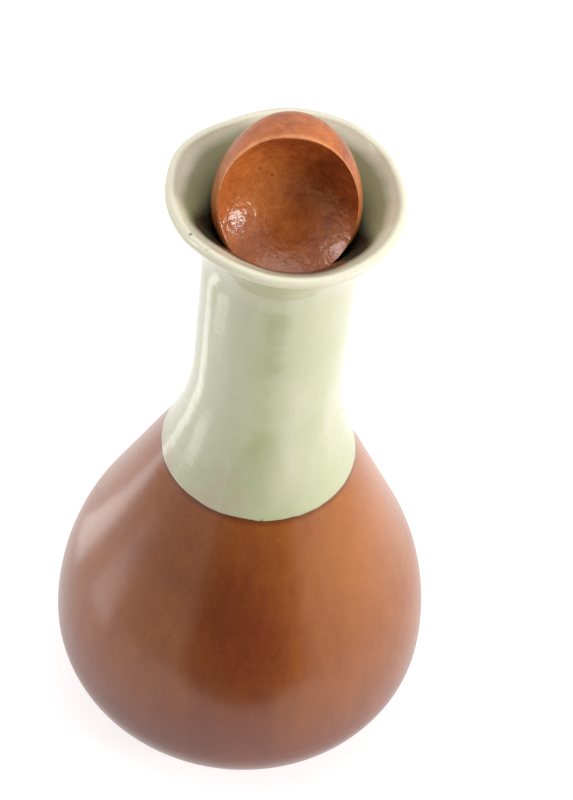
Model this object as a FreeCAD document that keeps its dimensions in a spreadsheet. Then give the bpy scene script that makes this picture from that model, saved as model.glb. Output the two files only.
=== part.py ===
# Stoppered stoneware sake bottle: a thrown belly, a luted trumpet neck,
# their glaze coats and a stopper with a thumb dish. Sizes in millimetres.
# +Z is up and the origin is the middle of the foot ring's resting face.
import FreeCAD
import Part
import Sketcher
import math
import os

SIZES = {
    "total_height": 180.5,
    "belly_radius": 47.6,
    "belly_level": 21.0,
    "foot_height": 2.5,
    "foot_turn": 68.0,
    "foot_step": 3.0,
    "ring_width": 5.0,
    "ring_bevel": 0.8,
    "foot_recess": 2.0,
    "floor_level": 6.0,
    "wall": 3.7,
    "neck_radius": 17.0,
    "neck_length": 56.8,
    "shoulder_bend": 0.45,
    "belly_share": 0.46,
    "mouth_radius": 26.0,
    "flare_height": 20.3,
    "lip_radius": 0.75,
    "body_coat": 0.35,
    "neck_coat": 0.7,
    "liner_coat": 0.35,
    "coat_start": 60.0,
    "coat_line": 0.915,
    "coat_lap": 0.84,
    "head_radius": 16.6,
    "head_top": 23.8,
    "cap_radius": 12.9,
    "head_coat": 0.35,
    "head_coat_share": 0.8,
    "seat_gap": 0.3,
    "shoulder_gap": 1.6,
    "head_stand": 7.21,
    "head_sink": 4.5,
    "sleeve_gap": 0.35,
    "sleeve_wall": 2.45,
    "sleeve_set": 4.7,
    "sleeve_length": 13.0,
    "peg_bevel": 1.0,
    "dish_radius": 21.0,
    "dish_floor": 2.9,
    "dish_tilt": 32.0,
    "dish_turn": 3.5,
}


class Size:
    """A length or ratio with its expression text and its present value."""

    def __init__(self, text, value):
        self.text = text
        self.value = value

    def __add__(self, other):
        return join(self, "+", other, lambda a, b: a + b)

    def __sub__(self, other):
        return join(self, "-", other, lambda a, b: a - b)

    def __mul__(self, other):
        return join(self, "*", other, lambda a, b: a * b)

    def __truediv__(self, other):
        return join(self, "/", other, lambda a, b: a / b)


def as_size(thing):
    if isinstance(thing, Size):
        return thing
    return Size(str(thing), float(thing))


def join(left, sign, right, work):
    left = as_size(left)
    right = as_size(right)
    return Size(f"({left.text} {sign} {right.text})", work(left.value, right.value))


def sine(angle):
    return Size(f"sin({angle.text} * 1 deg)", math.sin(math.radians(angle.value)))


def cosine(angle):
    return Size(f"cos({angle.text} * 1 deg)", math.cos(math.radians(angle.value)))


def root(square):
    return Size(f"sqrt({square.text})", math.sqrt(square.value))


def slope_angle(ratio):
    return Size(f"(atan({ratio.text}) / 1 deg)", math.degrees(math.atan(ratio.value)))


def along(start, reach, across, up):
    return (start[0] + across * reach, start[1] + up * reach)


doc = FreeCAD.newDocument("SakeBottle")
sheet = doc.addObject("Spreadsheet::Sheet", "Dims")
for row, (alias, number) in enumerate(SIZES.items(), start=1):
    sheet.set(f"A{row}", alias)
    sheet.set(f"B{row}", str(number))
    sheet.setAlias(f"B{row}", alias)
doc.recompute()
dims = {alias: Size(f"Dims.{alias}", number) for alias, number in SIZES.items()}
zero = Size("0", 0.0)


# Outline of the clay, from the foot to the lip
belly = dims["belly_radius"]
level = dims["belly_level"]
waist = dims["neck_radius"]
wall = dims["wall"]
floor = dims["floor_level"]

flare_out = dims["mouth_radius"] - waist
flare_up = dims["flare_height"]
flare_sum = flare_out * flare_out + flare_up * flare_up
flare_radius = flare_sum / (flare_out * 2)
flare_sine = flare_out * flare_up * 2 / flare_sum
flare_cosine = (flare_up * flare_up - flare_out * flare_out) / flare_sum

lip = dims["lip_radius"]
mouth_level = dims["total_height"] - dims["neck_coat"] - lip * (flare_sine + 1)
flare_level = mouth_level - flare_up
waist_level = mouth_level - dims["neck_length"]

shoulder_in = belly - waist
shoulder_up = waist_level - level
turn = slope_angle(shoulder_in / shoulder_up) * (dims["shoulder_bend"] + 1)
turn_sine = sine(turn)
turn_cosine = cosine(turn)
both_arcs = (shoulder_up * turn_sine - shoulder_in * turn_cosine) / (as_size(1) - turn_cosine)
upper_radius = both_arcs * dims["belly_share"]
neck_radius = both_arcs - upper_radius
lower_radius = (level - dims["foot_height"]) / sine(dims["foot_turn"])

lower_centre = (belly - lower_radius, level)
upper_centre = (belly - upper_radius, level)
neck_centre = (waist + neck_radius, waist_level)
flare_centre = (waist + flare_radius, flare_level)

throat = waist - wall
lip_centre = (dims["mouth_radius"] - lip * flare_cosine, mouth_level + lip * flare_sine)
throat_out = lip_centre[0] - throat
throat_up = lip_centre[1] - flare_level
throat_radius = (throat_out * throat_out + throat_up * throat_up - lip * lip) / (
    (throat_out - lip) * 2
)
throat_centre = (throat + throat_radius, flare_level)
lip_reach = throat_radius - lip
lip_across = (lip_centre[0] - throat_centre[0]) / lip_reach
lip_up = (lip_centre[1] - flare_level) / lip_reach


def low_point(angle, offset):
    reach = lower_radius + offset
    return (lower_centre[0] + reach * cosine(angle), level - reach * sine(angle))


def wide_point(offset):
    return (belly + offset, level)


def shoulder_point(offset):
    return along(upper_centre, upper_radius + offset, turn_cosine, turn_sine)


def curve_point(share, offset):
    angle = turn * share
    reach = neck_radius - offset
    return (neck_centre[0] - reach * cosine(angle), waist_level - reach * sine(angle))


def floor_point(offset):
    reach = lower_radius - wall - offset
    drop = level - floor - offset
    return (lower_centre[0] + root(reach * reach - drop * drop), floor + offset)


def outer_lip(offset):
    reach = lip + offset
    return (lip_centre[0] + reach * flare_cosine, lip_centre[1] - reach * flare_sine)


def inner_lip(offset):
    return along(lip_centre, lip + offset, lip_across, lip_up)


def place_point(sketch, edge, end, axis, size):
    """Hold one coordinate of a sketch point at a size from the sheet."""
    if size.text == "0":
        rail = -2 if axis == "X" else -1
        sketch.addConstraint(Sketcher.Constraint("PointOnObject", edge, end, rail))
        return
    rule = Sketcher.Constraint(f"Distance{axis}", -1, 1, edge, end, size.value)
    number = sketch.addConstraint(rule)
    sketch.setExpression(f"Constraints[{number}]", size.text)


def draw_edge(sketch, start, finish, centre):
    """Add a line, or the short arc about a centre, and say which end is the start."""
    first = FreeCAD.Vector(start[0].value, start[1].value, 0)
    last = FreeCAD.Vector(finish[0].value, finish[1].value, 0)
    if centre is None:
        return sketch.addGeometry(Part.LineSegment(first, last), False), 1
    middle = FreeCAD.Vector(centre[0].value, centre[1].value, 0)
    from_angle = math.atan2(first.y - middle.y, first.x - middle.x)
    to_angle = math.atan2(last.y - middle.y, last.x - middle.x)
    forward = (to_angle - from_angle) % (2 * math.pi) < math.pi
    if not forward:
        from_angle, to_angle = to_angle, from_angle
    circle = Part.Circle(middle, FreeCAD.Vector(0, 0, 1), (first - middle).Length)
    arc = Part.ArcOfCircle(circle, from_angle, from_angle + (to_angle - from_angle) % (2 * math.pi))
    return sketch.addGeometry(arc, False), 1 if forward else 2


def draw_profile(sketch, stops):
    """Close an outline through points, each with the centre of the arc that follows it."""
    edges = []
    for number, (point, centre) in enumerate(stops):
        following = stops[(number + 1) % len(stops)][0]
        edges.append(draw_edge(sketch, point, following, centre))
    for number, (edge, start) in enumerate(edges):
        before, before_start = edges[number - 1]
        sketch.addConstraint(Sketcher.Constraint("Coincident", before, 3 - before_start, edge, start))
    for (edge, start), (point, centre) in zip(edges, stops):
        place_point(sketch, edge, start, "X", point[0])
        place_point(sketch, edge, start, "Y", point[1])
    for number, ((edge, start), (point, centre)) in enumerate(zip(edges, stops)):
        if centre is None:
            continue
        following = stops[(number + 1) % len(stops)][0]
        across = abs(following[0].value - point[0].value)
        up = abs(following[1].value - point[1].value)
        axis = 0 if up > across else 1
        place_point(sketch, edge, 3, "XY"[axis], centre[axis])


def turned_body(name, stops):
    """Revolve an outline about the bottle's axis."""
    body = doc.addObject("PartDesign::Body", name)
    body.Label = name
    sketch = body.newObject("Sketcher::SketchObject", f"{name}_outline")
    plane = [item for item in body.Origin.OriginFeatures if item.Role == "XZ_Plane"][0]
    sketch.AttachmentSupport = (plane, [""])
    sketch.MapMode = "FlatFace"
    draw_profile(sketch, stops)
    spin = body.newObject("PartDesign::Revolution", f"{name}_turning")
    spin.Profile = sketch
    spin.ReferenceAxis = (sketch, ["V_Axis"])
    spin.Angle = 360.0
    sketch.Visibility = False
    return body


def body_shell():
    heel = low_point(dims["foot_turn"], zero)
    ring = heel[0] - dims["foot_step"]
    well = ring - dims["ring_width"]
    bevel = dims["ring_bevel"]
    stops = [
        ((zero, dims["foot_recess"]), None),
        ((well, dims["foot_recess"]), None),
        ((well, bevel), None),
        ((well + bevel, zero), None),
        ((ring - bevel, zero), None),
        ((ring, bevel), None),
        ((ring, dims["foot_height"]), None),
        (heel, lower_centre),
        (wide_point(zero), upper_centre),
        (shoulder_point(zero), None),
        (curve_point(1, zero), None),
        (curve_point(1, zero - wall), None),
        (shoulder_point(zero - wall), upper_centre),
        (wide_point(zero - wall), lower_centre),
        (floor_point(zero), None),
        ((zero, floor), None),
    ]
    return turned_body("body_shell", stops)


def neck_shell():
    stops = [
        (curve_point(1, zero), neck_centre),
        ((waist, waist_level), None),
        ((waist, flare_level), flare_centre),
        (outer_lip(zero), lip_centre),
        (inner_lip(zero), throat_centre),
        ((throat, flare_level), None),
        ((throat, waist_level), neck_centre),
        (curve_point(1, zero - wall), None),
    ]
    return turned_body("neck_shell", stops)


def body_glaze():
    coat = dims["body_coat"]
    start = dims["coat_start"]
    lap = dims["coat_lap"]
    stops = [
        (low_point(start, zero), lower_centre),
        (wide_point(zero), upper_centre),
        (shoulder_point(zero), None),
        (curve_point(1, zero), neck_centre),
        (curve_point(lap, zero), None),
        (curve_point(lap, coat), neck_centre),
        (curve_point(1, coat), None),
        (shoulder_point(coat), upper_centre),
        (wide_point(coat), lower_centre),
        (low_point(start, coat), None),
    ]
    return turned_body("body_glaze", stops)


def neck_glaze():
    under = dims["body_coat"]
    coat = dims["neck_coat"]
    line = dims["coat_line"]
    lap = dims["coat_lap"]
    stops = [
        (curve_point(line, under), neck_centre),
        (curve_point(lap, under), None),
        (curve_point(lap, zero), neck_centre),
        ((waist, waist_level), None),
        ((waist, flare_level), flare_centre),
        (outer_lip(zero), lip_centre),
        (inner_lip(zero), throat_centre),
        ((throat, flare_level), None),
        ((throat, waist_level), None),
        ((throat - coat, waist_level), None),
        ((throat - coat, flare_level), throat_centre),
        (inner_lip(coat), lip_centre),
        (outer_lip(coat), flare_centre),
        ((waist + coat, flare_level), None),
        ((waist + coat, waist_level), neck_centre),
        (curve_point(line, coat), None),
    ]
    return turned_body("neck_glaze", stops)


def liner_glaze():
    coat = dims["liner_coat"]
    face = zero - wall - coat
    stops = [
        ((zero, floor), None),
        (floor_point(zero), lower_centre),
        (wide_point(zero - wall), upper_centre),
        (shoulder_point(zero - wall), None),
        (curve_point(1, zero - wall), neck_centre),
        ((throat, waist_level), None),
        ((throat - coat, waist_level), neck_centre),
        (curve_point(1, face), None),
        (shoulder_point(face), upper_centre),
        (wide_point(face), lower_centre),
        (floor_point(coat), None),
        ((zero, floor + coat), None),
    ]
    return turned_body("liner_glaze", stops)


# Outline of the stopper: an egg of three arcs on a stepped peg
head = dims["head_radius"]
top = dims["head_top"]
cap = dims["cap_radius"]
bore = throat - dims["neck_coat"]
shoulder = bore - dims["shoulder_gap"]
side_radius = (head * head + top * top - top * cap * 2) / ((head - cap) * 2)
under_in = head - shoulder

# The head's widest ring stands over the level where it would touch the glazed flare,
# and its underside stays one seat gap off the flare
flare_side = throat_centre[0] - head
seat_reach = throat_radius + dims["neck_coat"] + dims["head_coat"] + dims["seat_gap"]
touch_rise = root(seat_reach * seat_reach - flare_side * flare_side)
flare_rise = touch_rise + dims["head_stand"] - dims["head_sink"]
seat = flare_level + flare_rise
under_radius = (flare_side * flare_side + flare_rise * flare_rise - seat_reach * seat_reach) / (
    (seat_reach - flare_side) * 2
)
drop = root(under_in * under_radius * 2 - under_in * under_in)

cap_centre = (zero, seat + top - cap)
side_centre = (head - side_radius, seat)
under_centre = (head - under_radius, seat)
sleeve_high = flare_level - dims["sleeve_set"]
sleeve_low = sleeve_high - dims["sleeve_length"]
sleeve_radius = bore - dims["sleeve_gap"]
peg = sleeve_radius - dims["sleeve_wall"]


def crown_point(offset):
    reach = cap + offset
    gap = side_radius - cap
    across = (side_radius - head) / gap
    up = (top - cap) / gap
    return (across * reach, seat + top - cap + up * reach)


def stopper_form():
    bevel = dims["peg_bevel"]
    stops = [
        ((zero, seat + top), cap_centre),
        (crown_point(zero), side_centre),
        ((head, seat), under_centre),
        ((shoulder, seat - drop), None),
        ((shoulder, sleeve_high), None),
        ((peg, sleeve_high), None),
        ((peg, sleeve_low + bevel), None),
        ((peg - bevel, sleeve_low), None),
        ((zero, sleeve_low), None),
    ]
    return turned_body("stopper_form", stops)


def coat_form():
    coat = dims["head_coat"]
    reach = under_radius + coat
    depth = drop * dims["head_coat_share"]
    edge = (under_centre[0] + root(reach * reach - depth * depth), seat - depth)
    stops = [
        ((zero, seat + top + coat), cap_centre),
        (crown_point(coat), side_centre),
        ((head + coat, seat), under_centre),
        (edge, None),
        ((zero, seat - depth), None),
    ]
    return turned_body("coat_form", stops)


def dish_ball(name, offset):
    """The ball that scoops the thumb dish out of the front of the head."""
    ball = doc.addObject("Part::Sphere", name)
    ball.Label = name
    radius = dims["dish_radius"] - offset
    reach = dims["dish_radius"] + dims["dish_floor"]
    tilt = dims["dish_tilt"]
    swing = dims["dish_turn"]
    ball.setExpression("Radius", radius.text)
    ball.setExpression("Placement.Base.x", (reach * cosine(tilt) * sine(swing)).text)
    ball.setExpression("Placement.Base.y", (zero - reach * cosine(tilt) * cosine(swing)).text)
    ball.setExpression("Placement.Base.z", (seat + reach * sine(tilt)).text)
    return ball


def cut(name, base, tool):
    result = doc.addObject("Part::Cut", name)
    result.Label = name
    result.Base = base
    result.Tool = tool
    return result


def cork_sleeve():
    bevel = dims["peg_bevel"]
    stops = [
        ((peg, sleeve_low + bevel), None),
        ((sleeve_radius - bevel, sleeve_low), None),
        ((sleeve_radius, sleeve_low + bevel), None),
        ((sleeve_radius, sleeve_high), None),
        ((peg, sleeve_high), None),
    ]
    return turned_body("cork_sleeve", stops)


nodes = [body_shell(), neck_shell(), body_glaze(), neck_glaze(), liner_glaze()]
stopper_body = cut("stopper_body", stopper_form(), dish_ball("dish_ball", zero))
coat_blank = cut("coat_blank", coat_form(), dish_ball("dish_coat_ball", dims["head_coat"]))
stopper_glaze = cut("stopper_glaze", coat_blank, stopper_body)
nodes += [stopper_body, stopper_glaze, cork_sleeve()]
doc.recompute()

for item in doc.Objects:
    if "Invalid" in item.State or "Error" in item.State:
        raise RuntimeError(f"{item.Name} did not build: {item.State}")
for node in nodes:
    if node.Shape.isNull() or not node.Shape.isValid() or len(node.Shape.Solids) != 1:
        raise RuntimeError(f"{node.Label} is not one sound solid")

os.makedirs("parts", exist_ok=True)
for node in nodes:
    node.Shape.exportStep(f"parts/{node.Label}.step")
    box = node.Shape.optimalBoundingBox()
    print(f"{node.Label}: {box.XLength:.2f} x {box.YLength:.2f} x {box.ZLength:.2f} mm, "
          f"{node.Shape.Volume / 1000:.2f} ml, bottom {box.ZMin:.2f}, top {box.ZMax:.2f}")
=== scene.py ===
import bpy
import math
from mathutils import Matrix, Vector
from mathutils.bvhtree import BVHTree


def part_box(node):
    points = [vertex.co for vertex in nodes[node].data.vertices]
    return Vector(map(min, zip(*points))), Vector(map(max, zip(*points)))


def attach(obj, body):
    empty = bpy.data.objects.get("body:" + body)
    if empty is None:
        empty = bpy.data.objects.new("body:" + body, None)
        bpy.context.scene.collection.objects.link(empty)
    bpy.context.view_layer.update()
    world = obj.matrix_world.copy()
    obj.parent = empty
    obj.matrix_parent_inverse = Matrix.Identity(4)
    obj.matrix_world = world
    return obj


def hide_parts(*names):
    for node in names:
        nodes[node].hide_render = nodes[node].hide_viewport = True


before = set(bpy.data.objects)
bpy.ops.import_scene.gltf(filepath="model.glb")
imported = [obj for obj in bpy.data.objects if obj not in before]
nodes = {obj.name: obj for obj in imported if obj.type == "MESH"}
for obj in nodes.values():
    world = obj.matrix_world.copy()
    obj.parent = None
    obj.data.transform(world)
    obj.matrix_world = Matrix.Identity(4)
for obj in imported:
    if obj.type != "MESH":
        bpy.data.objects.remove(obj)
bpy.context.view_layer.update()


# Node wires that take part in sums, and the graph that makes them
class Wire:
    def __init__(self, graph, socket):
        self.graph = graph
        self.socket = socket

    def apply(self, operation, *others):
        return self.graph.maths(operation, self, *others)

    def __add__(self, other):
        return self.graph.maths("ADD", self, other)

    __radd__ = __add__

    def __sub__(self, other):
        return self.graph.maths("SUBTRACT", self, other)

    def __rsub__(self, other):
        return self.graph.maths("SUBTRACT", other, self)

    def __mul__(self, other):
        return self.graph.maths("MULTIPLY", self, other)

    def __truediv__(self, other):
        return self.graph.maths("DIVIDE", self, other)

    def __pow__(self, other):
        return self.graph.maths("POWER", self, other)


class Graph:
    def __init__(self, tree):
        self.tree = tree

    def add(self, kind, settings=None, values=None, out=0):
        node = self.tree.nodes.new(kind)
        for name, value in (settings or {}).items():
            if name == "stops":
                self.fillRamp(node.color_ramp, value)
            else:
                setattr(node, name, value)
        for name, value in (values or {}).items():
            self.feed(node.inputs[name], value)
        return Wire(self, node.outputs[out])

    def feed(self, socket, value):
        if isinstance(value, Wire):
            self.tree.links.new(value.socket, socket)
        else:
            socket.default_value = value

    def fillRamp(self, ramp, stops):
        while len(ramp.elements) < len(stops):
            ramp.elements.new(0.5)
        for element, (place, colour) in zip(ramp.elements, stops):
            element.position = place
            element.color = (*colour, 1.0)

    def maths(self, operation, *parts):
        return self.add("ShaderNodeMath", {"operation": operation}, dict(enumerate(parts)))

    def vectors(self, operation, *parts, out=0):
        return self.add("ShaderNodeVectorMath", {"operation": operation}, dict(enumerate(parts)), out)

    def split(self, vector):
        first = self.add("ShaderNodeSeparateXYZ", None, {0: vector})
        outputs = first.socket.node.outputs
        return [Wire(self, outputs[number]) for number in range(3)]

    def join(self, x, y, z):
        return self.add("ShaderNodeCombineXYZ", None, {0: x, 1: y, 2: z})

    def ease(self, value, low, high):  # 0 below low, 1 above high, smooth between
        settings = {"interpolation_type": "SMOOTHSTEP"}
        return self.add("ShaderNodeMapRange", settings, {"Value": value, "From Min": low, "From Max": high})

    def blend(self, factor, first, second, how="MIX"):
        node = self.tree.nodes.new("ShaderNodeMix")
        node.data_type = "RGBA"
        node.blend_type = how
        self.feed(node.inputs[0], factor)
        for place, value in ((6, first), (7, second)):
            self.feed(node.inputs[place], value if isinstance(value, Wire) else (*value, 1.0))
        return Wire(self, node.outputs[2])

    def ramp(self, value, *stops):
        return self.add("ShaderNodeValToRGB", {"stops": stops}, {0: value})

    def noise(self, place, scale, detail=2.0, rough=0.5, warp=0.0, seed=0.0):
        values = {"Vector": place, "W": seed, "Scale": scale, "Detail": detail,
                  "Roughness": rough, "Distortion": warp}
        return self.add("ShaderNodeTexNoise", {"noise_dimensions": "4D"}, values)

    def cells(self, place, scale, feature="F1", chance=1.0, out="Distance"):
        values = {"Vector": place, "Scale": scale, "Randomness": chance}
        return self.add("ShaderNodeTexVoronoi", {"feature": feature}, values, out)


# Outlines, read from the packed clay and glaze
def probe(node):
    mesh = nodes[node].data
    points = [vertex.co.copy() for vertex in mesh.vertices]
    faces = [tuple(polygon.vertices) for polygon in mesh.polygons]
    return BVHTree.FromPolygons(points, faces)


def outsideRadius(tree, height):
    hit = tree.ray_cast(Vector((1.0, 1e-6, height)), Vector((-1.0, 0.0, 0.0)))[0]
    return hit.x


def insideRadius(tree, height):
    hit = tree.ray_cast(Vector((0.0, 1e-6, height)), Vector((1.0, 0.0, 0.0)))[0]
    return hit.x


def backRadius(tree, height):  # at the back, where no dish is pressed in
    hit = tree.ray_cast(Vector((0.0, 1.0, height)), Vector((0.0, -1.0, 0.0)))[0]
    return hit.y


def levels(low, high, count):
    return [low + (high - low) * step / (count - 1) for step in range(count)]


def between(before, start, end, after, t):  # one coordinate of a curve from start to end
    run = 2 * start + (end - before) * t
    bend = (2 * before - 5 * start + 4 * end - after) * t ** 2
    twist = (3 * start - before - 3 * end + after) * t ** 3
    return 0.5 * (run + bend + twist)


def smoothLine(points, steps):  # a curve through all the points
    line = []
    for number in range(len(points) - 1):
        before = points[max(number - 1, 0)]
        after = points[min(number + 2, len(points) - 1)]
        near = (before, points[number], points[number + 1], after)
        for step in range(steps):
            line.append(tuple(between(*coordinates, step / steps) for coordinates in zip(*near)))
    line.append(tuple(points[-1]))
    return line


def roundEdge(centre, radius, fromTurn, toTurn, count):
    line = []
    for turn in levels(math.radians(fromTurn), math.radians(toTurn), count):
        line.append((centre[0] + radius * math.cos(turn), centre[1] + radius * math.sin(turn)))
    return line


# Turned pieces: an outline carried round the upright axis by nodes
def startTree(name, inputs):
    tree = bpy.data.node_groups.new(name, "GeometryNodeTree")
    tree.interface.new_socket(name="Geometry", in_out="INPUT", socket_type="NodeSocketGeometry")
    tree.interface.new_socket(name="Geometry", in_out="OUTPUT", socket_type="NodeSocketGeometry")
    for label, kind in inputs.items():
        tree.interface.new_socket(name=label, in_out="INPUT", socket_type=f"NodeSocket{kind}")
    graph = Graph(tree)
    source = tree.nodes.new("NodeGroupInput")
    return graph, {socket.name: Wire(graph, socket) for socket in source.outputs if socket.name}


def endTree(graph, shape, material):
    shape = graph.add("GeometryNodeMergeByDistance", None, {"Geometry": shape, "Distance": 1e-6})
    shape = graph.add("GeometryNodeSetShadeSmooth", None, {"Geometry": shape, "Shade Smooth": True})
    shape = graph.add("GeometryNodeRealizeInstances", None, {"Geometry": shape})
    shape = graph.add("GeometryNodeSetMaterial", None, {"Geometry": shape, "Material": material})
    sink = graph.tree.nodes.new("NodeGroupOutput")
    graph.feed(sink.inputs[0], shape)


def turnOutline(graph, outline, facets):
    count = graph.add("GeometryNodeAttributeDomainSize", None, {"Geometry": outline}, "Point Count")
    sheet = graph.add("GeometryNodeMeshGrid", None, {"Vertices X": facets + 1, "Vertices Y": count}, "Mesh")
    index = graph.add("GeometryNodeInputIndex")
    column = ((index + 0.5) / count).apply("FLOOR")
    row = index - column * count
    place = graph.add("GeometryNodeInputPosition")
    settings = {"data_type": "FLOAT_VECTOR", "domain": "POINT"}
    values = {"Geometry": outline, "Value": place, "Index": row}
    reach, height = graph.split(graph.add("GeometryNodeSampleIndex", settings, values))[::2]
    turn = column * (2 * math.pi) / facets
    spot = graph.join(reach * turn.apply("COSINE"), reach * turn.apply("SINE"), height)
    return graph.add("GeometryNodeSetPosition", None, {"Geometry": sheet, "Position": spot})


def dressPiece(name, outline, tree, values):
    mesh = bpy.data.meshes.new(f"{name}Outline")
    points = [(reach, 0.0, height) for reach, height in outline]
    mesh.from_pydata(points, [(number, number + 1) for number in range(len(points) - 1)], [])
    maker = bpy.data.objects.new(f"{name}Maker", mesh)
    bpy.context.scene.collection.objects.link(maker)
    shaper = maker.modifiers.new("Shape", "NODES")
    shaper.node_group = tree
    for item in tree.interface.items_tree:
        if item.in_out == "INPUT" and item.name in values:
            shaper[item.identifier] = values[item.name]
    bpy.context.view_layer.update()
    seen = maker.evaluated_get(bpy.context.evaluated_depsgraph_get())
    piece = bpy.data.objects.new(name, bpy.data.meshes.new_from_object(seen))
    bpy.context.scene.collection.objects.link(piece)
    bpy.data.objects.remove(maker)
    print(name, len(piece.data.polygons), "faces")
    return piece


# The potter's hand: every turned piece of the bottle shares these soft errors
hand = {
    "wobble": 0.00030,
    "wobbleScale": 1.3,
    "wobbleUp": 14.0,
    "ringScale": 1.4,
    "rimWave": 0.0007,
    "rimOnset": 1.5,
    "dent": -0.0009,
    "dentTurn": 127.0,
    "dentTight": 14.0,
    "corner": 0.0008,
    "cornerTurn": 158.0,
    "cornerTight": 22.0,
    "rimLift": 0.0011,
    "edgeWave": 0.0006,
    "edgeScale": 3.2,
    "edgeReach": 0.007,
    "edgeTuck": 0.44,
}


def lobe(graph, across, up, turn, tight):  # 1 at one turn of the rim, fading to both sides
    angle = math.radians(turn)
    facing = across * math.cos(angle) + up * math.sin(angle)
    return ((facing - 1.0) * tight).apply("EXPONENT")


def handmadeTree():
    inputs = {"Facets": "Int", "Flare Level": "Float", "Rim Level": "Float", "Edge Level": "Float",
              "Edge Wave": "Float", "Seed": "Float", "Material": "Material"}
    graph, given = startTree("thrownForm", inputs)
    shape = turnOutline(graph, given["Geometry"], given["Facets"])
    place = graph.add("GeometryNodeInputPosition")
    x, y, z = graph.split(place)
    reach = (x * x + y * y).apply("SQRT").apply("MAXIMUM", 1e-5)
    across = x / reach
    up = y / reach
    size = hand["wobbleScale"]
    field = graph.join(across * size, up * size, z * (size * hand["wobbleUp"]))
    soft = graph.noise(field, 1.0, 2.0, 0.5, 0.0, given["Seed"])
    ring = graph.join(across * hand["ringScale"], up * hand["ringScale"], 0.0)
    rimNoise = graph.noise(ring, 1.0, 1.5, 0.5, 0.0, given["Seed"] + 3.0) - 0.5
    liftNoise = graph.noise(ring, 0.8, 1.0, 0.5, 0.0, given["Seed"] + 7.0) - 0.5
    rim = graph.ease(z, given["Flare Level"], given["Rim Level"]) ** hand["rimOnset"]
    dent = lobe(graph, across, up, hand["dentTurn"], hand["dentTight"]) * hand["dent"]
    corner = lobe(graph, across, up, hand["cornerTurn"], hand["cornerTight"]) * hand["corner"]
    push = soft * hand["wobble"] + rim * (rimNoise * hand["rimWave"] * 2 + dent + corner)
    lift = rim * liftNoise * (hand["rimLift"] * 2)
    hem = graph.join(across * hand["edgeScale"], up * hand["edgeScale"], 0.0)
    edgeNoise = graph.noise(hem, 1.0, 2.5, 0.5, 0.0, given["Seed"] + 11.0) - 0.5
    nearEdge = 1.0 - graph.ease(z, given["Edge Level"], given["Edge Level"] + hand["edgeReach"])
    slip = edgeNoise * nearEdge * given["Edge Wave"] * 2
    push = push - slip * hand["edgeTuck"]
    offset = graph.join(across * push, up * push, lift + slip)
    shape = graph.add("GeometryNodeSetPosition", None, {"Geometry": shape, "Offset": offset})
    endTree(graph, shape, given["Material"])
    return graph.tree


# Finishes
def newFinish(name, fixed, paint):
    material = bpy.data.materials.new(name)
    material.use_nodes = True
    graph = Graph(material.node_tree)
    shader = material.node_tree.nodes["Principled BSDF"]
    for socket, value in fixed.items():
        shader.inputs[socket].default_value = value
    place = graph.add("ShaderNodeTexCoord", None, None, "Object")
    made = paint(graph, place)
    graph.feed(shader.inputs["Base Color"], made["colour"])
    graph.feed(shader.inputs["Roughness"], made["rough"])
    relief = {"Height": made["height"], "Distance": made["depth"], "Strength": 1.0}
    graph.feed(shader.inputs["Normal"], graph.add("ShaderNodeBump", None, relief))
    return material


def bellyRusset(edgeLevel):
    look = {
        "dark": (0.075, 0.014, 0.004),
        "brown": (0.165, 0.034, 0.006),
        "kaki": (0.29, 0.086, 0.012),
        "orange": (0.47, 0.148, 0.018),
        "speck": (0.025, 0.007, 0.004),
    }

    def paint(graph, place):
        x, y, z = graph.split(place)
        clouds = graph.noise(place, 38.0, 5.0, 0.62, 0.3, 2.0)
        broad = graph.noise(place, 13.0, 1.0, 0.5, 0.2, 5.0)
        streakPlace = graph.vectors("MULTIPLY", place, (210.0, 210.0, 26.0))
        streaks = graph.noise(streakPlace, 1.0, 4.0, 0.6, 0.0, 9.0)
        grain = graph.noise(place, 950.0, 3.0, 0.75, 0.0, 1.0)
        # Painted dark reflection down the front, painted light on the right shoulder where the window's
        # light falls, painted shade towards the foot
        # Painted dark reflection: the belly's front darkened where it mirrors the dark room in front
        front = (((x - 0.001) / 0.013) ** 4.0 * -1.0).apply("EXPONENT") * graph.ease(y, 0.0, -0.02)
        front = front * graph.ease(z, 0.014, 0.034) * graph.ease(z, 0.092, 0.060)
        # Painted light: the right shoulder made warmer and lighter where the window's light falls
        paintedLitShoulder = graph.ease(x, 0.0, 0.03) * graph.ease(z, 0.035, 0.075)
        # Painted shade: the belly made darker towards the foot
        low = graph.ease(z, 0.045, 0.008)
        tone = clouds * 0.16 + broad * 0.18 + streaks * 0.18 + grain * 0.12 + 0.22
        tone = tone - front * 0.12 + paintedLitShoulder * 0.13 - low * 0.18
        colour = graph.ramp(
            tone, (0.22, look["dark"]), (0.40, look["brown"]), (0.60, look["kaki"]), (0.84, look["orange"]),
        )
        patchy = graph.ease(graph.noise(place, 90.0, 2.0, 0.5, 0.0, 4.0), 0.50, 0.62)
        specks = graph.ease(graph.cells(place, 520.0), 0.18, 0.08) * patchy
        colour = graph.blend(specks * 0.4, colour, look["speck"])
        nearEdge = graph.ease(z, edgeLevel - 0.0022, edgeLevel)
        colour = graph.blend(nearEdge * 0.55, colour, look["dark"])
        height = grain * 0.4 + graph.noise(place, 240.0, 2.0, 0.5) * 0.6 - specks * 0.4
        rough = 0.17 + grain * 0.10 + clouds * 0.06
        return {"colour": colour, "rough": rough, "height": height, "depth": 0.00005}

    return newFinish("bellyRusset", {"IOR": 1.57}, paint)


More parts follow.
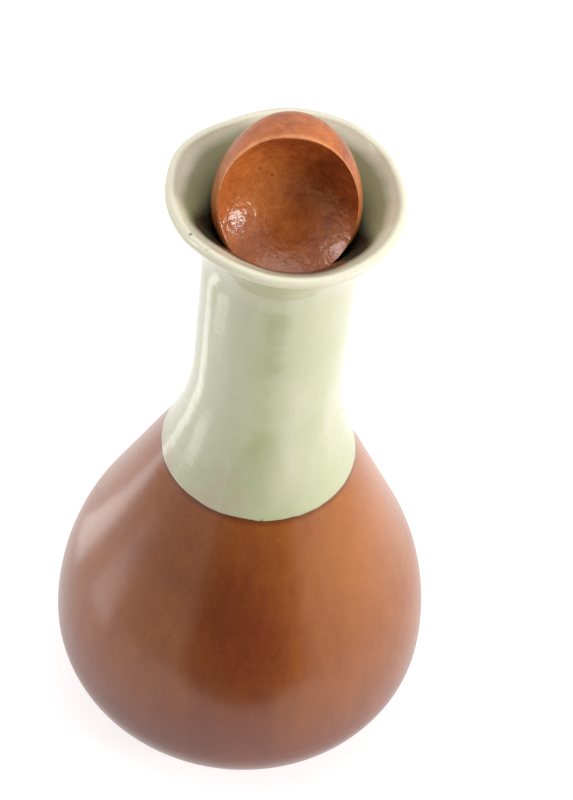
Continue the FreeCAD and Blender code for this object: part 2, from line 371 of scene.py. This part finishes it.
def stopperRusset():
    look = {
        "dark": (0.12, 0.022, 0.006),
        "brown": (0.27, 0.054, 0.012),
        "kaki": (0.48, 0.134, 0.030),
        "orange": (0.68, 0.26, 0.080),
        "speck": (0.020, 0.006, 0.003),
    }

    def paint(graph, place):
        x, z = graph.split(place)[::2]
        away = graph.vectors("DISTANCE", place, tuple(dishCentre()), out="Value")
        beyond = away - (headSizes["dishRadius"] - headSizes["coat"])
        # The glaze breaks pale on the dish's edge, partly thinned glaze and partly a painted highlight where
        # light catches the rounding; painted shade darkens the dish under its top and right edge
        paleEdgeAndHighlight = graph.ease(beyond, 0.0001, 0.0005) * graph.ease(beyond, 0.0018, 0.0006)
        shade = graph.ease(beyond, 0.0006, 0.0001) * graph.ease(z + x * 0.6, 0.182, 0.197)
        clouds = graph.noise(place, 85.0, 4.0, 0.6, 0.5, 12.0)
        mottle = graph.noise(place, 380.0, 3.0, 0.65, 0.8, 17.0)
        grain = graph.noise(place, 1300.0, 3.0, 0.7, 0.0, 3.0)
        lumps = graph.noise(place, 620.0, 2.0, 0.5, 0.3, 8.0)
        tone = clouds * 0.48 + mottle * 0.34 + grain * 0.18 + 0.07
        # The painted edge highlight and the painted shade in the dish go into the tone here
        tone = tone + paleEdgeAndHighlight * mottle * 0.40 - shade * 0.15
        colour = graph.ramp(
            tone, (0.25, look["dark"]), (0.43, look["brown"]), (0.62, look["kaki"]), (0.84, look["orange"]),
        )
        patchy = graph.ease(graph.noise(place, 120.0, 2.0, 0.5, 0.0, 6.0), 0.50, 0.60)
        specks = graph.ease(graph.cells(place, 300.0), 0.13, 0.06) * patchy
        colour = graph.blend(specks * 0.6, colour, look["speck"])
        height = lumps * 0.8 + grain * 0.2
        return {"colour": colour, "rough": 0.09 + grain * 0.10, "height": height, "depth": 0.00032}

    return newFinish("stopperRusset", {"IOR": 1.52}, paint)


def neckCeladon(edgeLevel, rimLevel):
    look = {
        "pale": (0.53, 0.53, 0.39),
        "green": (0.38, 0.42, 0.22),
        "paintedBellyReflection": (0.50, 0.40, 0.29),
        "thin": (0.80, 0.75, 0.60),
        "inside": (0.24, 0.27, 0.15),
        "throat": (0.022, 0.020, 0.013),
        "craze": (0.33, 0.33, 0.21),
        "speck": (0.05, 0.03, 0.02),
    }
    chips = ((232.0, "rim", 0.0009), (247.0, "rim", 0.0007), (219.0, "rim", 0.0006), (277.0, "edge", 0.0006))
    chipRings = {"rim": (rimRadius - 0.0012, rimLevel - 0.0003), "edge": (edgeRadius, edgeLevel + 0.0002)}

    def chipPlace(turn, where):
        angle = math.radians(turn)
        reach, height = chipRings[where]
        return (math.cos(angle) * reach, math.sin(angle) * reach, height)

    def paint(graph, place):
        x, y, z = graph.split(place)
        reach = (x * x + y * y).apply("SQRT").apply("MAXIMUM", 0.001)
        face = graph.split(graph.add("ShaderNodeTexCoord", None, None, "Normal"))
        inward = graph.ease((face[0] * x + face[1] * y) / reach, 0.15, -0.45)
        clouds = graph.noise(place, 34.0, 4.0, 0.55, 0.6, 3.0)
        streakPlace = graph.vectors("MULTIPLY", place, (120.0, 120.0, 11.0))
        streaks = graph.noise(streakPlace, 1.0, 3.0, 0.5, 0.4, 6.0)
        # Painted dark reflection: a greener, darker run down the neck's front where it mirrors the dark room
        # in front
        paintedDarkReflection = (((x + 0.001) / 0.006) ** 2.0 * -1.0).apply("EXPONENT") * graph.ease(y, 0.0, -0.01)
        tone = clouds * 0.6 + streaks * 0.4 - paintedDarkReflection * 0.07
        colour = graph.ramp(tone, (0.30, look["green"]), (0.68, look["pale"]))
        # Painted reflection: the russet belly mirrored as a pinkish-brown haze low on the neck's left
        paintedBellyReflection = graph.ease(graph.noise(place, 62.0, 3.0, 0.6, 0.5, 21.0), 0.50, 0.60)
        paintedBellyReflection = paintedBellyReflection * graph.ease(z, edgeLevel + 0.022, edgeLevel + 0.004) * graph.ease(x, 0.010, -0.012)
        colour = graph.blend(paintedBellyReflection * 0.6, colour, look["paintedBellyReflection"])
        colour = graph.blend(inward * 0.8, colour, look["inside"])
        # Painted shade: the throat goes dark, a little lower at the back than at the front
        behind = graph.ease(y, -0.012, 0.004)
        level = z + (clouds - 0.5) * 0.002 + behind * 0.0045
        paintedThroatShade = graph.ease(level, rimLevel - 0.0008, rimLevel - 0.0030 - behind * 0.0045) * inward
        colour = graph.blend(paintedThroatShade * 0.97, colour, look["throat"])
        rim = graph.ease(z + (clouds - 0.5) * 0.002, rimLevel - 0.0026, rimLevel - 0.0008)
        colour = graph.blend(rim * 0.7, colour, look["thin"])
        veins = graph.ease(graph.cells(place, 190.0, "DISTANCE_TO_EDGE"), 0.03, 0.0)
        colour = graph.blend(veins * 0.07, colour, look["craze"])
        edge = graph.ease(z, edgeLevel + 0.0012, edgeLevel)
        colour = graph.blend(edge * 0.5, colour, look["craze"])
        patchy = graph.ease(graph.noise(place, 60.0, 2.0, 0.5, 0.0, 15.0), 0.58, 0.66)
        specks = graph.ease(graph.cells(place, 150.0), 0.10, 0.05) * patchy
        colour = graph.blend(specks * 0.3, colour, look["speck"])
        for turn, where, size in chips:
            away = graph.vectors("DISTANCE", place, chipPlace(turn, where), out="Value")
            chip = graph.ease(away + (streaks - 0.5) * size, size, size * 0.5)
            colour = graph.blend(chip * 0.8, colour, look["speck"])
        height = clouds * 0.70 + graph.noise(place, 120.0, 2.0, 0.5, 0.3, 5.0) * 0.30 - veins * 0.02
        return {"colour": colour, "rough": 0.12 + clouds * 0.08, "height": height, "depth": 0.00055}

    return newFinish("neckCeladon", {"IOR": 1.54}, paint)


def bareStoneware():
    look = {"dark": (0.20, 0.12, 0.075), "light": (0.42, 0.30, 0.20), "grit": (0.07, 0.045, 0.03)}

    def paint(graph, place):
        clouds = graph.noise(place, 60.0, 4.0, 0.6)
        sand = graph.noise(place, 1300.0, 3.0, 0.7)
        colour = graph.ramp(clouds * 0.6 + sand * 0.4, (0.3, look["dark"]), (0.7, look["light"]))
        grit = graph.ease(graph.cells(place, 700.0), 0.2, 0.1)
        colour = graph.blend(grit * 0.5, colour, look["grit"])
        return {"colour": colour, "rough": 0.75 + sand * 0.2, "height": sand + grit * 0.5, "depth": 0.00015}

    return newFinish("bareStoneware", {}, paint)


def innerGlaze():
    look = {"brown": (0.20, 0.14, 0.08), "grey": (0.42, 0.38, 0.27)}

    def paint(graph, place):
        clouds = graph.noise(place, 40.0, 4.0, 0.6, 0.4)
        grain = graph.noise(place, 600.0, 3.0, 0.6)
        colour = graph.ramp(clouds * 0.75 + grain * 0.25, (0.3, look["brown"]), (0.7, look["grey"]))
        return {"colour": colour, "rough": 0.15 + grain * 0.15, "height": grain, "depth": 0.00008}

    return newFinish("innerGlaze", {"IOR": 1.5}, paint)


def corkBark():
    look = {"light": (0.52, 0.33, 0.17), "dark": (0.28, 0.15, 0.07), "pore": (0.07, 0.035, 0.02)}

    def paint(graph, place):
        grain = graph.cells(place, 620.0)
        clouds = graph.noise(place, 220.0, 4.0, 0.6)
        colour = graph.ramp(grain * 0.5 + clouds * 0.6, (0.25, look["dark"]), (0.75, look["light"]))
        upright = graph.vectors("MULTIPLY", place, (1.0, 1.0, 0.35))
        pores = graph.ease(graph.noise(upright, 420.0, 2.0, 0.5, 0.0, 5.0), 0.62, 0.70)
        colour = graph.blend(pores, colour, look["pore"])
        return {"colour": colour, "rough": 0.8 + clouds * 0.15, "height": clouds - pores, "depth": 0.0003}

    return newFinish("corkBark", {}, paint)


def palePaper():
    def paint(graph, place):
        soft = graph.noise(place, 14.0, 2.0, 0.5)
        colour = graph.ramp(soft, (0.3, (0.35, 0.34, 0.34)), (0.7, (0.37, 0.36, 0.36)))
        fibre = graph.noise(place, 900.0, 2.0, 0.5)
        return {"colour": colour, "rough": 0.8, "height": fibre, "depth": 0.00003}

    glow = {"Emission Color": (1.0, 0.965, 0.970, 1.0), "Emission Strength": 0.80}
    return newFinish("palePaper", {"Specular IOR Level": 0.0, **glow}, paint)


def softFelt(name, dark, light):
    def paint(graph, place):
        nap = graph.noise(place, 400.0, 2.0, 0.6)
        colour = graph.ramp(nap, (0.3, dark), (0.7, light))
        return {"colour": colour, "rough": 0.95, "height": nap, "depth": 0.0002}

    return newFinish(name, {"Specular IOR Level": 0.0}, paint)


# Levels that the pieces share
bellyLow, bellyHigh = (corner.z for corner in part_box("body_glaze"))
edgeLevel, rimLevel = (corner.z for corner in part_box("neck_glaze"))
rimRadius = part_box("neck_glaze")[1].x
edgeRadius = outsideRadius(probe("neck_glaze"), edgeLevel + 0.0009)
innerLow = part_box("liner_glaze")[1].z
flareLevel = rimLevel - 0.0223

thrown = handmadeTree()
shared = {"Flare Level": flareLevel, "Rim Level": rimLevel, "Edge Level": edgeLevel, "Seed": 4.0}


def makeBellyCoat():
    sizes = {"facets": 320, "rows": 26, "steps": 9, "back": 0.0012}
    skin = probe("body_glaze")
    heights = levels(bellyLow + 0.0003, bellyHigh - 0.0003, sizes["rows"])
    outer = smoothLine([(outsideRadius(skin, height), height) for height in heights], sizes["steps"])
    inner = [(reach - sizes["back"], height) for reach, height in reversed(outer[:: sizes["steps"]])]
    outline = [(outer[0][0] - sizes["back"] / 2, outer[0][1] - 0.0003), *outer, *inner]
    outline.append(outline[0])
    values = {**shared, "Facets": sizes["facets"], "Edge Wave": 0.0, "Material": bellyRusset(edgeLevel)}
    return dressPiece("bellyCoat", outline, thrown, values)


def makeNeckCoat(finish):
    sizes = {"facets": 320, "rows": 30, "steps": 5, "lipRadius": 0.00135, "back": 0.0021, "roll": 0.00030}
    skin = probe("neck_glaze")
    lipCentre = (rimRadius - sizes["lipRadius"], rimLevel - sizes["lipRadius"])
    high = lipCentre[1] - sizes["lipRadius"]
    outerLevels = levels(edgeLevel + 0.0009, high, sizes["rows"])
    outer = smoothLine([(outsideRadius(skin, height), height) for height in outerLevels], sizes["steps"])
    foot = (outer[0][0] + 0.0001, edgeLevel + 0.0004)
    roll = roundEdge((foot[0] - sizes["roll"], foot[1]), sizes["roll"] + 0.0001, -115, 15, 6)
    lip = roundEdge(lipCentre, sizes["lipRadius"], -40, 145, 22)
    innerLevels = levels(high + 0.0006, innerLow + 0.0002, sizes["rows"])
    inner = smoothLine([(insideRadius(skin, height), height) for height in innerLevels], sizes["steps"] - 2)
    back = [(reach - sizes["back"], height) for reach, height in reversed(outer[:: sizes["steps"]])]
    above = sum(height > innerLow for reach, height in back)
    outline = [*roll, *outer, *lip, *inner, *back[above - 1 :]]  # one back stop stays above the liner
    outline.append(outline[0])
    values = {**shared, "Facets": sizes["facets"], "Edge Wave": hand["edgeWave"], "Material": finish}
    return dressPiece("neckCoat", outline, thrown, values)


def makeNeckClay(finish):
    sizes = {"facets": 96, "rows": 24, "steps": 3, "lipRadius": 0.0007}
    clay = probe("neck_shell")
    low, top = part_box("neck_shell")
    lipCentre = (top.x - sizes["lipRadius"], top.z - sizes["lipRadius"])
    outerLevels = levels(low.z + 0.0017, lipCentre[1] - 0.0006, sizes["rows"])
    outer = smoothLine([(outsideRadius(clay, height), height) for height in outerLevels], sizes["steps"])
    lip = roundEdge(lipCentre, sizes["lipRadius"], -30, 140, 7)
    innerLevels = levels(lipCentre[1], low.z + 0.0017, sizes["rows"])
    inner = smoothLine([(insideRadius(clay, height), height) for height in innerLevels], sizes["steps"])
    outline = [*outer, *lip, *inner]
    outline.append(outline[0])
    values = {**shared, "Facets": sizes["facets"], "Edge Wave": 0.0, "Material": finish}
    return dressPiece("neckClay", outline, thrown, values)


# The stopper's head: an egg with a thumb dish pressed into its front
headSizes = {
    "facets": 300,
    "rows": 22,
    "steps": 9,
    "sink": 0.0045,
    "dishRadius": 0.021,
    "dishFloor": 0.0029,
    "dishTilt": 32.0,
    "dishTurn": 3.5,
    "coat": 0.00035,
    "edgeRound": 0.0050,
    "edgeSoft": 0.0060,
    "softFromTo": (0.006, -0.012),
    "lumps": 0.0003,
    "lumpScale": 70.0,
}


def headTree():
    inputs = {"Facets": "Int", "Dish Centre": "Vector", "Dish Radius": "Float", "Edge Round": "Float",
              "Edge Soft": "Float", "Seed": "Float", "Lumps": "Float", "Material": "Material"}
    graph, given = startTree("dishedHead", inputs)
    shape = turnOutline(graph, given["Geometry"], given["Facets"])
    place = graph.add("GeometryNodeInputPosition")
    x, y = graph.split(place)[:2]
    lumps = (graph.noise(place, headSizes["lumpScale"], 2.0, 0.5, 0.0, given["Seed"]) - 0.5) * given["Lumps"]
    swell = graph.vectors("SCALE", graph.vectors("NORMALIZE", graph.join(x, y, 0.0)))
    graph.feed(swell.socket.node.inputs["Scale"], lumps)
    shape = graph.add("GeometryNodeSetPosition", None, {"Geometry": shape, "Offset": swell})
    place = graph.add("GeometryNodeInputPosition")
    away = graph.vectors("SUBTRACT", place, given["Dish Centre"])
    reach = graph.vectors("LENGTH", away, out="Value")
    softSide = graph.ease(graph.split(place)[0], *headSizes["softFromTo"])
    width = given["Edge Round"] + softSide * given["Edge Soft"]
    pressed = reach.apply("SMOOTH_MAX", given["Dish Radius"], width)
    moved = graph.vectors("SCALE", away)
    graph.feed(moved.socket.node.inputs["Scale"], pressed / reach)
    spot = graph.vectors("ADD", given["Dish Centre"], moved)
    shape = graph.add("GeometryNodeSetPosition", None, {"Geometry": shape, "Position": spot})
    endTree(graph, shape, given["Material"])
    return graph.tree


dished = headTree()


def dishCentre():
    tilt = math.radians(headSizes["dishTilt"])
    turn = math.radians(headSizes["dishTurn"])
    toward = Vector((math.cos(tilt) * math.sin(turn), -math.cos(tilt) * math.cos(turn), math.sin(tilt)))
    seat = Vector((0.0, 0.0, rimLevel - headSizes["sink"]))
    return seat + toward * (headSizes["dishRadius"] + headSizes["dishFloor"])


def makeHead(name, node, low, inset, finish, tail):
    skin = probe(node)
    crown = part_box(node)[1].z
    rows = []
    for turnUp in levels(0.0, 90.0, headSizes["rows"])[:-1]:
        height = low + (crown - low) * math.sin(math.radians(turnUp))
        rows.append((backRadius(skin, height), height))
    rows.append((0.0, crown))
    outline = [*tail, *smoothLine(rows, headSizes["steps"])]
    values = {
        "Facets": headSizes["facets"],
        "Dish Centre": dishCentre(),
        "Dish Radius": headSizes["dishRadius"] - inset,
        "Edge Round": headSizes["edgeRound"],
        "Edge Soft": headSizes["edgeSoft"],
        "Seed": 6.0,
        "Lumps": headSizes["lumps"],
        "Material": finish,
    }
    return dressPiece(name, outline, dished, values)


def makeStopper(clay):
    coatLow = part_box("stopper_glaze")[0].z
    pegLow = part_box("stopper_body")[0].z
    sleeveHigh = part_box("cork_sleeve")[1].z
    edge = backRadius(probe("stopper_glaze"), coatLow + 0.0001)
    coatTail = [(0.0, coatLow), (edge - 0.0006, coatLow)]
    russet = stopperRusset()
    coat = makeHead("stopperCoat", "stopper_glaze", coatLow + 0.0002, headSizes["coat"], russet, coatTail)
    clayTail = [(0.0, pegLow)]
    core = probe("stopper_body")
    pegLevels = [pegLow + 0.0001, pegLow + 0.001]  # the peg's foot and bevel
    pegLevels += [sleeveHigh - 0.0002, sleeveHigh + 0.0002, sleeveHigh + 0.004]  # its step and shoulder
    for height in pegLevels:
        clayTail.append((backRadius(core, height), height))
    peg = makeHead("stopperClay", "stopper_body", sleeveHigh + 0.006, 0.0, clay, clayTail)
    return coat, peg


def assemble():
    clay = bareStoneware()
    celadon = neckCeladon(edgeLevel, rimLevel)
    bellyCoat = makeBellyCoat()
    neckCoat = makeNeckCoat(celadon)
    neckClay = makeNeckClay(clay)
    stopperCoat, stopperClay = makeStopper(clay)
    pieces = (
        (bellyCoat, "bottle", "body_glaze", "russet_glaze"),
        (neckCoat, "bottle", "neck_glaze", "celadon_glaze"),
        (neckClay, "bottle", "neck_shell", "stoneware"),
        (stopperCoat, "stopper", "stopper_glaze", "stopper_russet"),
        (stopperClay, "stopper", "stopper_body", "stopper_stoneware"),
    )
    for piece, body, node, slot in pieces:
        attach(piece, body)
        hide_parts(node)
    kept = {"body_shell": clay, "liner_glaze": innerGlaze(), "cork_sleeve": corkBark()}
    for node, finish in kept.items():
        for holder in nodes[node].material_slots:
            holder.material = finish
    print("pieces placed")


# Floor, light and camera
def softSky(studio):
    world = bpy.data.worlds.new("softRoom")
    world.use_nodes = True
    graph = Graph(world.node_tree)
    toward = graph.vectors("NORMALIZE", graph.add("ShaderNodeTexCoord", None, None, "Object"))
    x, y, z = graph.split(toward)
    ahead = y / (x * x + y * y).apply("SQRT").apply("MAXIMUM", 0.001) * -1.0
    shade = graph.ease(ahead, *studio["shadeAcross"]) * graph.ease(z, *studio["shadeUp"])
    seen = graph.add("ShaderNodeLightPath", None, None, "Is Camera Ray")
    background = world.node_tree.nodes["Background"]
    tone = graph.blend(shade * (1.0 - seen), studio["bright"], studio["dark"])
    graph.feed(background.inputs["Color"], tone)
    background.inputs["Strength"].default_value = studio["sky"]
    bpy.context.scene.world = world


def addSheet(name, corners, faces, finish):
    mesh = bpy.data.meshes.new(name)
    mesh.from_pydata(corners, [], faces)
    mesh.materials.append(finish)
    sheet = bpy.data.objects.new(name, mesh)
    bpy.context.scene.collection.objects.link(sheet)
    return sheet


def addRoomSheet(name, span, finish):  # seen only in the glaze's reflections
    corners = []
    low = 0.0005
    stops = 25
    for along in levels(-1.0, 1.0, stops):
        turn = math.radians(span["turn"] + span["half"] * along)
        facing = (math.sin(turn), -math.cos(turn))
        near = span["near"] + span["bow"] * along ** 2
        for reach, height in ((near, low), (span["far"], low), (span["far"], low + span["wall"])):
            corners.append((facing[0] * reach, facing[1] * reach, height))
    faces = []
    for step in range(stops - 1):
        first = step * 3
        faces.append((first, first + 3, first + 4, first + 1))
        faces.append((first + 1, first + 4, first + 5, first + 2))
    sheet = addSheet(name, corners, faces, finish)
    for way in ("camera", "diffuse", "shadow", "transmission"):
        setattr(sheet, f"visible_{way}", False)


def addLamp(name, lamp, aim):
    light = bpy.data.lights.new(name, "AREA")
    light.shape = "RECTANGLE"
    light.size, light.size_y = lamp["size"]
    light.energy = lamp["power"]
    light.color = lamp["tint"]
    holder = bpy.data.objects.new(name, light)
    holder.location = lamp["place"]
    if "lying" in lamp:  # on the floor, facing up, for reflections only
        holder.rotation_euler = (math.pi, 0.0, math.radians(lamp["lying"]))
        holder.visible_diffuse = False
    else:
        holder.rotation_euler = (aim - Vector(lamp["place"])).to_track_quat("-Z", "Y").to_euler()
    holder.visible_glossy = lamp.get("mirrored", True)
    holder.visible_camera = False
    bpy.context.scene.collection.objects.link(holder)


def setStudio():
    white = (1.0, 1.0, 1.0)
    warmWhite = (1.0, 0.985, 0.965)
    studio = {
        "floor": 3.0,
        "sky": 0.82,
        "bright": (1.0, 1.0, 1.0),
        "dark": (0.05, 0.045, 0.045),
        "shadeAcross": (0.62, 0.93),
        "shadeUp": (0.98, 0.85),
        "front": {"turn": 6.0, "half": 35.0, "near": 0.128, "bow": 0.10, "far": 0.8, "wall": 0.45},
        "room": {"turn": 184.5, "half": 143.5, "near": 0.23, "bow": 0.0, "far": 2.5, "wall": 0.15},
        "aim": (0.0, 0.0, 0.10),
        "lamps": {
            "window": {"place": (1.08, -0.40, 0.34), "size": (0.28, 0.26), "power": 5.0, "tint": warmWhite},
            "daylight": {"place": (1.02, -0.35, 0.52), "size": (0.5, 0.5), "power": 5.5, "tint": warmWhite,
                         "mirrored": False},
            "softbox": {"place": (0.1, 0.30, 1.3), "size": (1.2, 1.2), "power": 6.5, "tint": white},
            "leftPane": {"place": (-0.93, -0.15, 0.60), "size": (0.22, 0.45), "power": 2.0,
                         "tint": (1.0, 0.98, 1.0)},
            "strip": {"place": (-0.28, 0.105, 0.001), "size": (0.40, 0.032), "power": 0.065, "tint": white,
                      "lying": 160.0},
            "patch": {"place": (-0.185, -0.035, 0.001), "size": (0.10, 0.055), "power": 0.030,
                      "tint": (1.0, 0.97, 1.0), "lying": 12.0},
        },
    }
    half = studio["floor"]
    corners = [(-half, -half, 0.0), (half, -half, 0.0), (half, half, 0.0), (-half, half, 0.0)]
    addSheet("floor", corners, [(0, 1, 2, 3)], palePaper())
    black = softFelt("darkFelt", (0.010, 0.009, 0.009), (0.025, 0.022, 0.022))
    grey = softFelt("greyFelt", (0.42, 0.40, 0.40), (0.50, 0.48, 0.48))
    addRoomSheet("frontFelt", studio["front"], black)
    addRoomSheet("roomFelt", studio["room"], grey)
    softSky(studio)
    for name, lamp in studio["lamps"].items():
        addLamp(name, lamp, Vector(studio["aim"]))
    bpy.context.scene.view_settings.view_transform = "Standard"
    print("studio lit")


def setCamera():
    view = {"place": (0.0, -0.4283, 0.6319), "aim": (0.0055, 0.0, 0.1079), "roll": 7.31, "lens": 126.0}
    data = bpy.data.cameras.new("camera")
    data.lens = view["lens"]
    data.clip_start = 0.01
    camera = bpy.data.objects.new("camera", data)
    place = Vector(view["place"])
    look = (Vector(view["aim"]) - place).to_track_quat("-Z", "Y").to_matrix().to_4x4()
    roll = Matrix.Rotation(math.radians(view["roll"]), 4, "Z")
    camera.matrix_world = Matrix.Translation(place) @ look @ roll
    bpy.context.scene.collection.objects.link(camera)
    bpy.context.scene.camera = camera


setCamera()
setStudio()
assemble()
